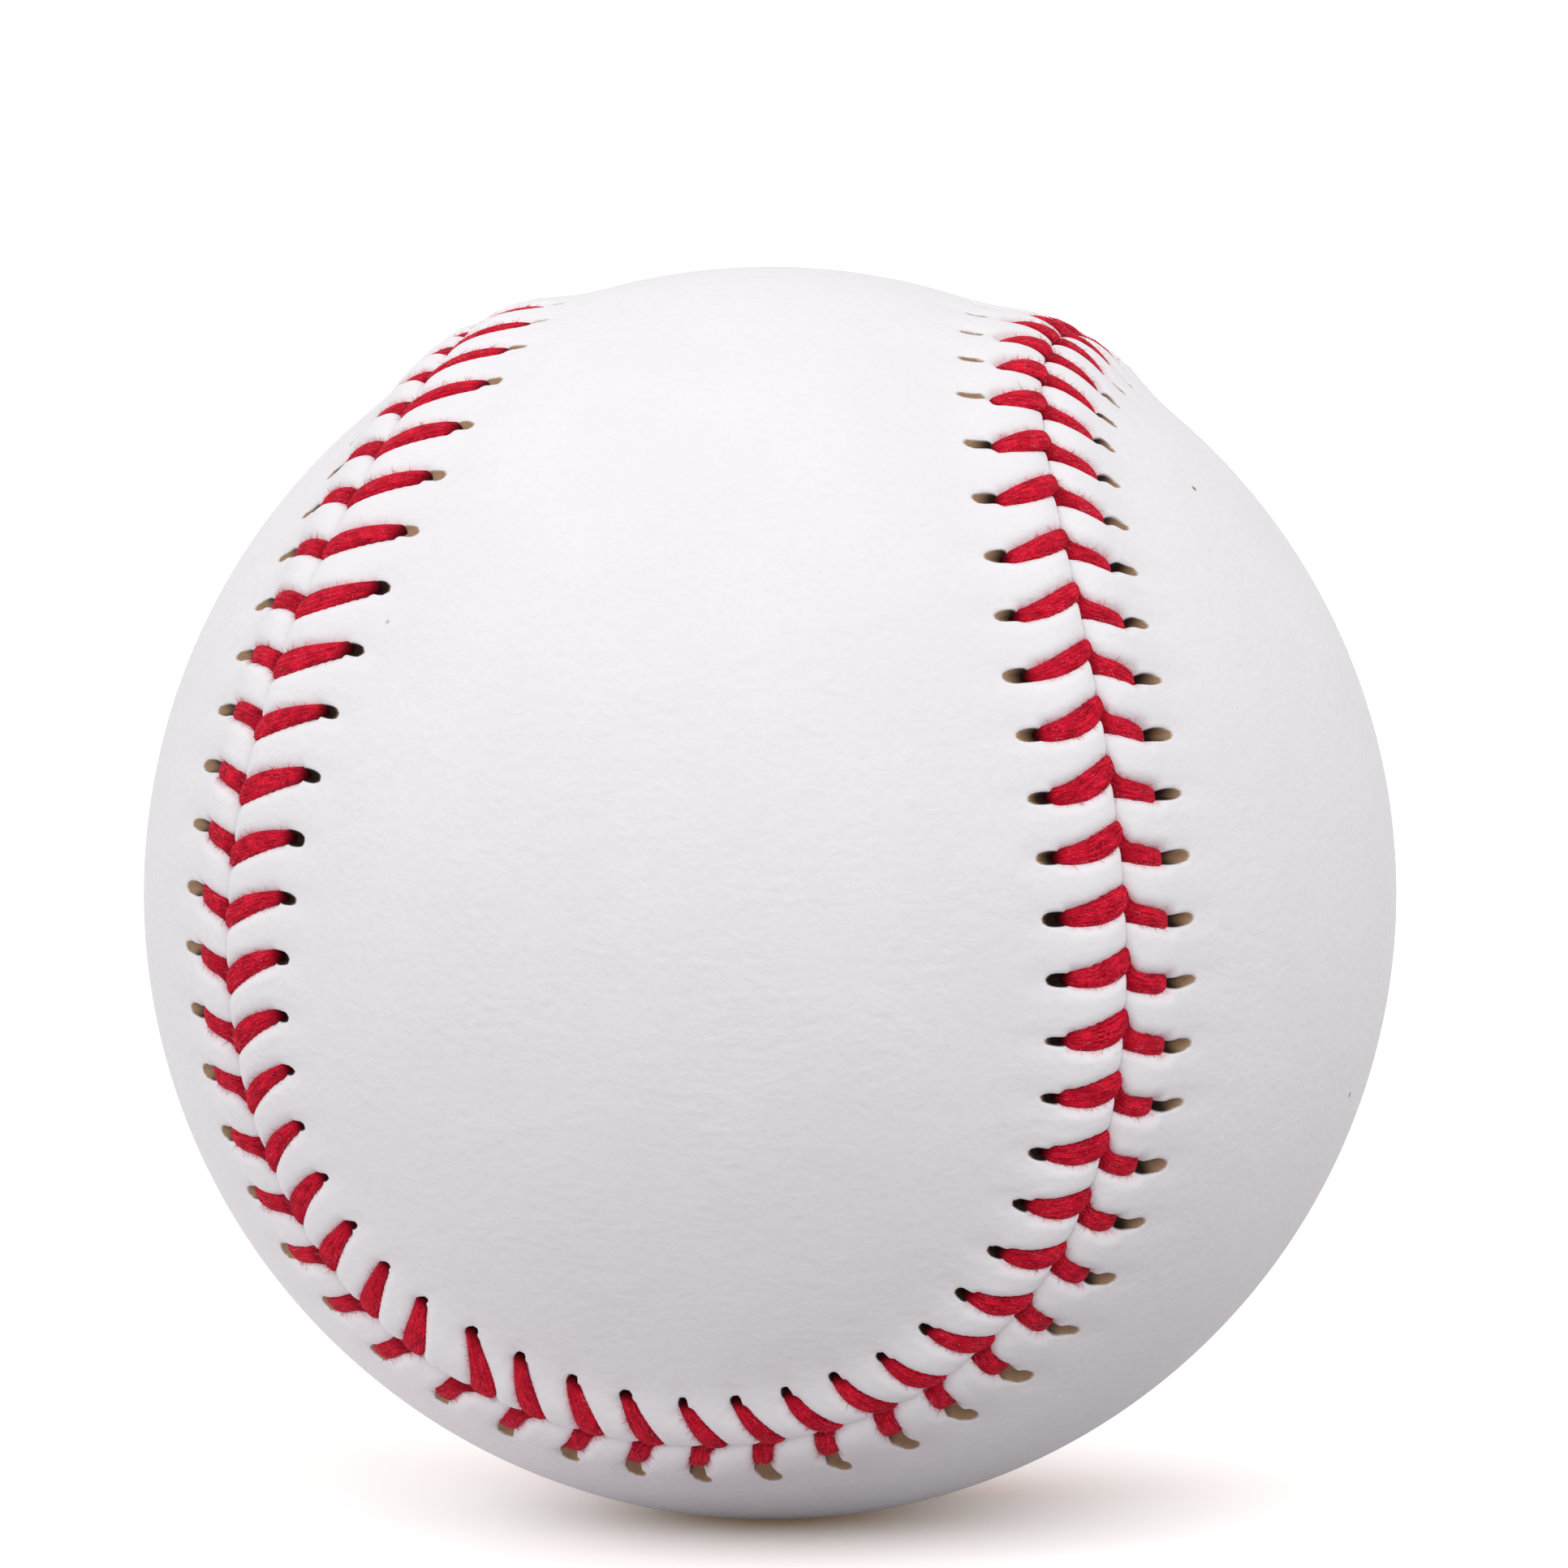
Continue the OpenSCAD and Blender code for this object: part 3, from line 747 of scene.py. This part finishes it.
class Finish:
    """A material with a Principled surface, whose nodes are made by one method."""

    def __init__(self, name, **constants):
        self.material = bpy.data.materials.new(name)
        self.material.use_nodes = True
        self.tree = self.material.node_tree
        self.tree.nodes.clear()
        self.surface = self.tree.nodes.new("ShaderNodeBsdfPrincipled")
        output = self.tree.nodes.new("ShaderNodeOutputMaterial")
        self.tree.links.new(self.surface.outputs[0], output.inputs[0])
        self.set(**constants)

    def node(self, kind, settings, sockets, out=0):
        node = self.tree.nodes.new(kind)
        for name, value in settings.items():
            setattr(node, name, value)
        for name, value in sockets.items():
            self.feed(node.inputs[name], value)
        return Wire(self, node.outputs[out])

    def feed(self, socket, value):
        if isinstance(value, Wire):
            self.tree.links.new(value.socket, socket)
        elif isinstance(value, tuple) and len(value) == 3 and socket.type == "RGBA":
            socket.default_value = (*value, 1)
        else:
            socket.default_value = value

    def set(self, **sockets):
        for name, value in sockets.items():
            self.feed(self.surface.inputs[name.replace("_", " ")], value)

    def coordinates(self):
        return self.node("ShaderNodeTexCoord", {}, {}, "Object")

    def mapping(self, vector, shift=(0, 0, 0), turn=(0, 0, 0), stretch=(1, 1, 1)):
        return self.node("ShaderNodeMapping", {}, {
            "Vector": vector, "Location": shift, "Rotation": turn, "Scale": stretch})

    def attribute(self, name):
        return self.node("ShaderNodeAttribute", {"attribute_name": name}, {}, "Fac")

    def noise(self, vector, size, detail, roughness=0.5):
        return self.node("ShaderNodeTexNoise", {}, {
            "Vector": vector, "Scale": 1 / size, "Detail": detail, "Roughness": roughness})

    def cells(self, vector, size, out="Distance", **settings):
        return self.node("ShaderNodeTexVoronoi", settings, {
            "Vector": vector, "Scale": 1 / size}, out)

    def vector_maths(self, operation, first, second=None, out=0):
        sockets = {0: first} if second is None else {0: first, 1: second}
        return self.node("ShaderNodeVectorMath", {"operation": operation}, sockets, out)

    def between(self, value, low, high, first=0.0, last=1.0):
        return self.node("ShaderNodeMapRange", {"interpolation_type": "SMOOTHSTEP"}, {
            "Value": value, "From Min": low, "From Max": high, "To Min": first, "To Max": last})

    def mix(self, share, first, last):
        return self.node("ShaderNodeMix", {"data_type": "RGBA"}, {0: share, 6: first, 7: last}, 2)

    def bump(self, height, distance, strength=1.0):
        return self.node("ShaderNodeBump", {}, {
            "Height": height, "Distance": distance, "Strength": strength})


def colour(red, green, blue):
    """A colour as written in a paint program, from 0 to 255, made linear for the renderer."""
    return tuple(c / 255 / 12.92 if c < 10.3 else ((c / 255 + 0.055) / 1.055) ** 2.4
                 for c in (red, green, blue))


print("helpers ready")

# %% [markdown]
# ## White leather
# The cover is alum-tawed leather, bright white with a very fine grain. From close by it has a
# faint cloudiness, a few small specks, and a trace of red where the threads rub off on it. In the
# holes one sees the raw side, tan at the far end; where the thread goes down, the hole is painted
# near black as shade.

# %% Leather finish
white_leather = Finish("white_leather", Roughness=0.6, Specular_IOR_Level=0.1)
leather_noise, leather_mix = white_leather.noise, white_leather.mix
fade = white_leather.between
clear_white, bright_white = colour(239, 236, 239), colour(241, 239, 241)
grey_white = colour(234, 230, 234)
speck_brown, rubbed_pink = colour(150, 120, 100), colour(238, 160, 182)
hole_shade_black, raw_tan, raw_brown = colour(16, 6, 5), colour(176, 144, 114), colour(104, 72, 54)

place = white_leather.coordinates()
cloud = leather_noise(place, 9 * mm, 4)
fine = leather_noise(place, 0.55 * mm, 5, 0.6)
skin = leather_mix(fade(cloud, 0.3, 0.7), clear_white, bright_white)
skin = leather_mix(fade(fine, 0.35, 0.75, 0, 0.35), skin, grey_white)
# Specks are the middles of a few cells of a coarse cell pattern
speck = fade(white_leather.cells(place, 6.5 * mm), 0.015, 0.04, 1, 0)
speck = speck * fade(leather_noise(place, 14 * mm, 1), 0.55, 0.62)
skin = leather_mix(speck, skin, speck_brown)
# Thread dye rubbed off beside the legs
rub = fade(white_leather.attribute("leg_gap"), 0.0, 0.6, 1, 0)
rub = rub * fade(leather_noise(place, 0.6 * mm, 3), 0.42, 0.68)
skin = leather_mix(rub * 0.6, skin, rubbed_pink)
# The raw leather in the holes: painted near-black shade at the thread, tan further in
way = white_leather.attribute("hole_way")
raw = leather_mix(fade(way, 0.3, 0.8), hole_shade_black, raw_tan)
stain = leather_noise(place, 0.25 * mm, 3) * fade(way, 0.1, 0.6, 0.1, 0.5)
raw = leather_mix(stain, raw, raw_brown)
skin = leather_mix(fade(white_leather.attribute("hole_rim"), -0.06, 0.03, 1, 0), skin, raw)
print("white leather mixes", len(white_leather.tree.nodes), "nodes into its colour")

# %% [markdown]
# ### The grain of the leather
# Tawed leather has fine pebbles, shallow swells, and wrinkles that run slantwise and come and go.
# A picture of real grain would show its joins on a ball, so the height is a sum of noises, and the
# wrinkles are a noise that is turned and drawn out by a Mapping node.

# %% Leather grain
grain = white_leather.cells(place, 0.42 * mm, feature="SMOOTH_F1")
slant = white_leather.mapping(place, turn=(0.3, 0.5, 0), stretch=(0.6, 1, 1.3))
wrinkles = leather_noise(slant, 0.8 * mm, 3, 0.55)
wrinkles = wrinkles * fade(leather_noise(place, 7 * mm, 2), 0.35, 0.6, 0.5, 1.4)
swells = leather_noise(place, 2.2 * mm, 3)
height = grain * 0.35 + fine * 0.5 + wrinkles * 0.9 + swells * 1.2
white_leather.set(Base_Color=skin, Normal=white_leather.bump(height, 0.065 * mm, 0.8))
for piece in (panel_front, panel_back):
    piece.data.materials.append(white_leather.material)
print("with its grain, white leather takes", len(white_leather.tree.nodes), "nodes")

# %% [markdown]
# ## Red waxed thread
# The thread is cotton or linen, dyed red, pressed flat, and fuzzy. Streaks follow the plies, so
# their pattern is stretched along the thread through its own map, where the first number is
# millimetres along it and the second goes once round it. The streaks are partly ply tone and
# partly painted shade and highlight. Deep in a hole, and where one leg runs under the other, shade
# is painted into the colour.

# %% Thread finish
red_thread = Finish("red_thread", Roughness=0.85, Specular_IOR_Level=0.06, Sheen_Weight=0.05,
                    Sheen_Roughness=0.5, Sheen_Tint=colour(255, 170, 185))
thread_mix, fade = red_thread.mix, red_thread.between
deep_red, bright_red, fuzz_highlight_pink = colour(156, 0, 22), colour(230, 20, 50), colour(248, 104, 136)
patch_red, shade_dim_red, shade_dark_red = colour(146, 0, 24), colour(112, 0, 16), colour(24, 2, 4)

along = red_thread.node("ShaderNodeUVMap", {"uv_map": "thread"}, {})
ply = red_thread.noise(red_thread.mapping(along, stretch=(0.9, 26, 1)), 1.0, 3, 0.6)
fuzz = red_thread.noise(red_thread.mapping(along, stretch=(5, 60, 1)), 1.0, 3, 0.7)
patch = red_thread.noise(red_thread.coordinates(), 0.9 * mm, 2)
# Deep red in the low streaks and bright red on the raised ones: ply tone, partly painted shade
red = thread_mix(fade(ply, 0.36, 0.6), deep_red, bright_red)
# Pale pink fuzz streaks: lighter fibres, partly a painted highlight
red = thread_mix(fade(fuzz, 0.5, 0.74, 0, 0.7), red, fuzz_highlight_pink)
red = thread_mix(fade(patch, 0.35, 0.6, 0.4, 0), red, patch_red)
# The shade attribute paints shade: dimmer where legs cross or near a hole, near black deep in it
shade = red_thread.attribute("shade")
red = thread_mix(fade(shade, 0.15, 0.75, 0, 0.75), red, shade_dim_red)
red = thread_mix(fade(shade, 0.5, 1.0, 0, 0.95), red, shade_dark_red)
red_thread.set(Base_Color=red, Normal=red_thread.bump(ply * 0.7 + fuzz * 0.5, 0.07 * mm, 0.9))
for piece in (thread_first, thread_second):
    piece.data.materials.append(red_thread.material)

red_lint = Finish("red_lint", Roughness=1.0, Specular_IOR_Level=0.0)
tuft = red_lint.between(red_lint.noise(red_lint.coordinates(), 0.8 * mm, 2), 0.35, 0.65)
red_lint.set(Base_Color=red_lint.mix(tuft, colour(206, 44, 72), colour(240, 128, 148)))
thread_lint.data.materials.append(red_lint.material)
print("red thread takes", len(red_thread.tree.nodes), "nodes")

# %% [markdown]
# ## What lies inside
# The inner layers can't be seen from outside, but the part is taken to pieces, so each has its own
# finish. Plain colours would do for a cut-away view, but pressed cork shows its crumbs and pits,
# whose darkness is painted shade, moulded rubber is faintly cloudy, and dried cement has run in
# drips, all of which noises can draw.

# %% Cork, rubber and cement
def cork():
    f = Finish("cork", Roughness=0.9)
    place = f.coordinates()
    crumbs = f.cells(place, 1.6 * mm, "Color")
    shade = f.node("ShaderNodeSeparateColor", {}, {"Color": crumbs})
    body = f.mix(shade, colour(150, 104, 62), colour(205, 160, 108))
    pits = f.between(f.noise(place, 0.7 * mm, 4), 0.3, 0.42, 1, 0)
    # The pits are darkened where the bump sinks them: painted shade
    f.set(Base_Color=f.mix(pits, body, colour(78, 48, 28)),
          Normal=f.bump(shade * 0.5 - pits, 0.15 * mm))
    return f


def rubber(name, dark, light):
    f = Finish(name, Roughness=0.7)
    place = f.coordinates()
    cloud = f.noise(place, 2.5 * mm, 4)
    f.set(Base_Color=f.mix(f.between(cloud, 0.35, 0.7), dark, light),
          Normal=f.bump(f.noise(place, 0.3 * mm, 3), 0.02 * mm))
    return f


def dried_cement():
    f = Finish("dried_cement", Roughness=0.45)
    place = f.coordinates()
    drips = f.noise(place, 4 * mm, 5, 0.6)
    body = f.mix(f.between(drips, 0.35, 0.65), colour(196, 170, 120), colour(226, 210, 172))
    f.set(Base_Color=body, Roughness=f.between(drips, 0.3, 0.7, 0.3, 0.6),
          Normal=f.bump(drips, 0.12 * mm))
    return f


cork_finish, cement_finish = cork(), dried_cement()
black_rubber = rubber("black_rubber", colour(22, 21, 22), colour(46, 44, 45))
red_rubber = rubber("red_rubber", colour(128, 30, 28), colour(168, 46, 40))
print("made", cork_finish.material.name, "and", cement_finish.material.name)

# %% [markdown]
# ### Wound yarn
# Three wools and a fine cotton yarn are wound round the pill, turn over turn, in patches that
# cross each other. Hundreds of metres of yarn as a curve would be too heavy. A cell pattern gives
# each patch one direction instead, and stripes across that direction are its strands, painted
# lighter on top and darker between them as shade.

# %% Yarn finish
def yarn(name, strand, dark, light):
    f = Finish(name, Roughness=0.95, Sheen_Weight=0.3)
    place = f.coordinates()
    loose = f.noise(place, 5 * mm, 2) * (1.5 * mm)
    patches = f.cells(place, 11 * mm, "Color")
    lean = f.vector_maths("NORMALIZE", f.vector_maths("SUBTRACT", patches, (0.5, 0.5, 0.5)))
    way = f.vector_maths("DOT_PRODUCT", place, lean, "Value") + loose
    phase = way * (2 * math.pi / strand)
    ridge = f.node("ShaderNodeMath", {"operation": "SINE"}, {0: phase}) * 0.5 + 0.5
    fluff = f.noise(place, 0.35 * mm, 4, 0.7)
    # Strands lighter on top and darker in the grooves between them: painted shade
    body = f.mix(ridge * 0.75 + fluff * 0.25, dark, light)
    f.set(Base_Color=body, Normal=f.bump(ridge + fluff * 0.5, 0.3 * mm))
    return f


inner_finishes = {
    "cork_core": cork_finish,
    "inner_rubber_shell_upper": black_rubber,
    "inner_rubber_shell_lower": black_rubber,
    "rubber_washer": red_rubber,
    "outer_rubber_shell": red_rubber,
    "four_ply_grey_winding": yarn(
        "dark_grey_wool", 1.4 * mm, colour(52, 52, 56), colour(112, 112, 116)),
    "three_ply_white_winding": yarn(
        "white_wool", 1.1 * mm, colour(176, 170, 156), colour(238, 234, 222)),
    "three_ply_grey_winding": yarn(
        "grey_wool", 1.1 * mm, colour(84, 84, 88), colour(150, 150, 154)),
    "finishing_winding": yarn(
        "finishing_yarn", 0.5 * mm, colour(186, 180, 166), colour(244, 240, 230)),
    "cement_coat": cement_finish}
for node, finish in inner_finishes.items():
    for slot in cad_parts[node].material_slots:
        slot.material = finish.material
print(len(inner_finishes), "inner layers dressed")

# %% [markdown]
# ## Floor
# The ball stands on a white table. The table throws back less than half of the light that it gets,
# but its colour is painted brighter close to the ball, a painted pool of bounced light that lights
# the ball's foot. A painted picture of that on the ball would not follow the ball's shape, so the
# table's colour changes with the distance. The camera sees the table as white, with a small,
# soft, warm shadow where the ball stands.

# %% Floor
table_half_w = 6
bm = bmesh.new()
bmesh.ops.create_grid(bm, x_segments=1, y_segments=1, size=table_half_w)
bmesh.ops.translate(bm, verts=bm.verts, vec=Vector((0, 0, -ball_r)))
floor_mesh = bpy.data.meshes.new("floor")
bm.to_mesh(floor_mesh)
bm.free()
floor = bpy.data.objects.new("floor", floor_mesh)
bpy.context.scene.collection.objects.link(floor)

# Shares of light thrown back; the one that the camera sees goes past 1, to come out white
lit_near, lit_far = (0.82, 0.8, 0.825), (0.445, 0.432, 0.448)
seen_white, warm_glow, no_glow = (1.28, 1.3, 1.32), (0.09, 0.05, 0.015), (0, 0, 0)
near_r, far_r = 5 * mm, 65 * mm

table_white = Finish("table_white", Roughness=1.0, Specular_IOR_Level=0.0)
rays = [table_white.node("ShaderNodeLightPath", {}, {}, f"Is {kind} Ray")
        for kind in ("Camera", "Glossy", "Transmission")]
seen = rays[0] + rays[1] + rays[2]
centred = table_white.mapping(table_white.coordinates(), shift=(24 * mm, 0, ball_r))
away = table_white.vector_maths("LENGTH", centred, out="Value")
# A painted pool of bounced light: the table's colour is brighter near the ball
lit = table_white.mix(table_white.between(away, near_r, far_r), lit_near, lit_far)
table_white.set(Base_Color=table_white.mix(seen, lit, seen_white),
                Emission_Color=table_white.mix(seen, no_glow, warm_glow), Emission_Strength=1.0)
floor_mesh.materials.append(table_white.material)
print("the table is", 2 * table_half_w, "m wide")

# %% [markdown]
# ## Room and lamps
# A white room gives most of the light, so the ball is brightest on top and darkens evenly towards
# its foot. Area lamps would light one side of the ball more than the other as they come close, so
# the large soft box at each side is a far lamp with a wide angle instead.

# %% Room and lamps
room_strength = 0.765
box_angle = math.radians(70)
# Strength of each soft box, and where it stands
soft_boxes = {"left_box": (0.95, (-0.91, -0.33, 0.26)), "right_box": (0.88, (0.44, -0.63, 0.64))}

world = bpy.data.worlds.new("room")
world.use_nodes = True
room = world.node_tree.nodes["Background"]
room.inputs["Color"].default_value = (1, 1, 1, 1)
room.inputs["Strength"].default_value = room_strength
bpy.context.scene.world = world

for name, (strength, towards) in soft_boxes.items():
    lamp = bpy.data.lights.new(name, "SUN")
    lamp.energy = strength
    lamp.angle = box_angle
    box = bpy.data.objects.new(name, lamp)
    box.rotation_euler = Vector(towards).to_track_quat("Z", "Y").to_euler()
    bpy.context.scene.collection.objects.link(box)

bpy.context.scene.view_settings.view_transform = "Standard"
print(len(soft_boxes), "lamps set")
